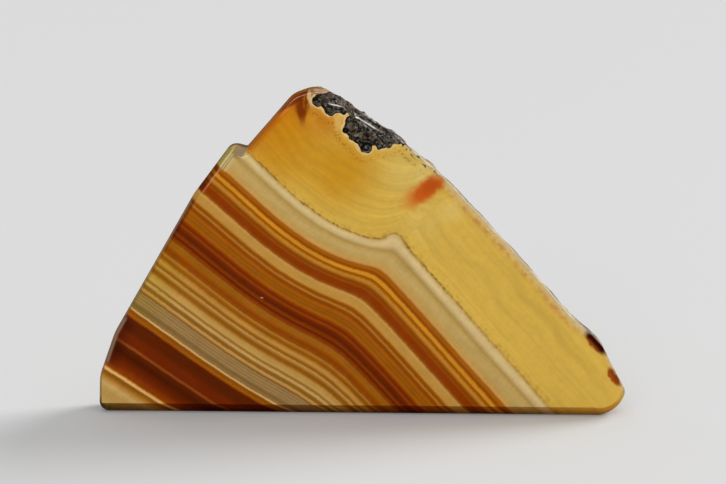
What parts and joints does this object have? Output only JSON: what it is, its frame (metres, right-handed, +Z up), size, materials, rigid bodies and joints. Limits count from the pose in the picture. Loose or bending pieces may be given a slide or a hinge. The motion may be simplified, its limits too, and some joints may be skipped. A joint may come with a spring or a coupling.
{
  "type": "agate slice",
  "caption": "Flat polished slice of banded agate, roughly triangular, standing on its long sawn edge, with a strip of rough natural skin down one side.",
  "frame": {"origin": "middle of the foot, which is the flat underside of the long sawn edge that the slice stands on", "axes": "+X along the foot, from the blunt left corner to the sharp right corner as seen from the front; -Y out of the front polished face, +Y out of the back polished face; +Z up from the foot to the tip"},
  "size_m": [0.0855, 0.007, 0.0528],
  "materials": {
    "polished_agate": "polished"
  },
  "bodies": {
    "root": {"agate_slice": "polished_agate"}
  },
  "joints": []
}
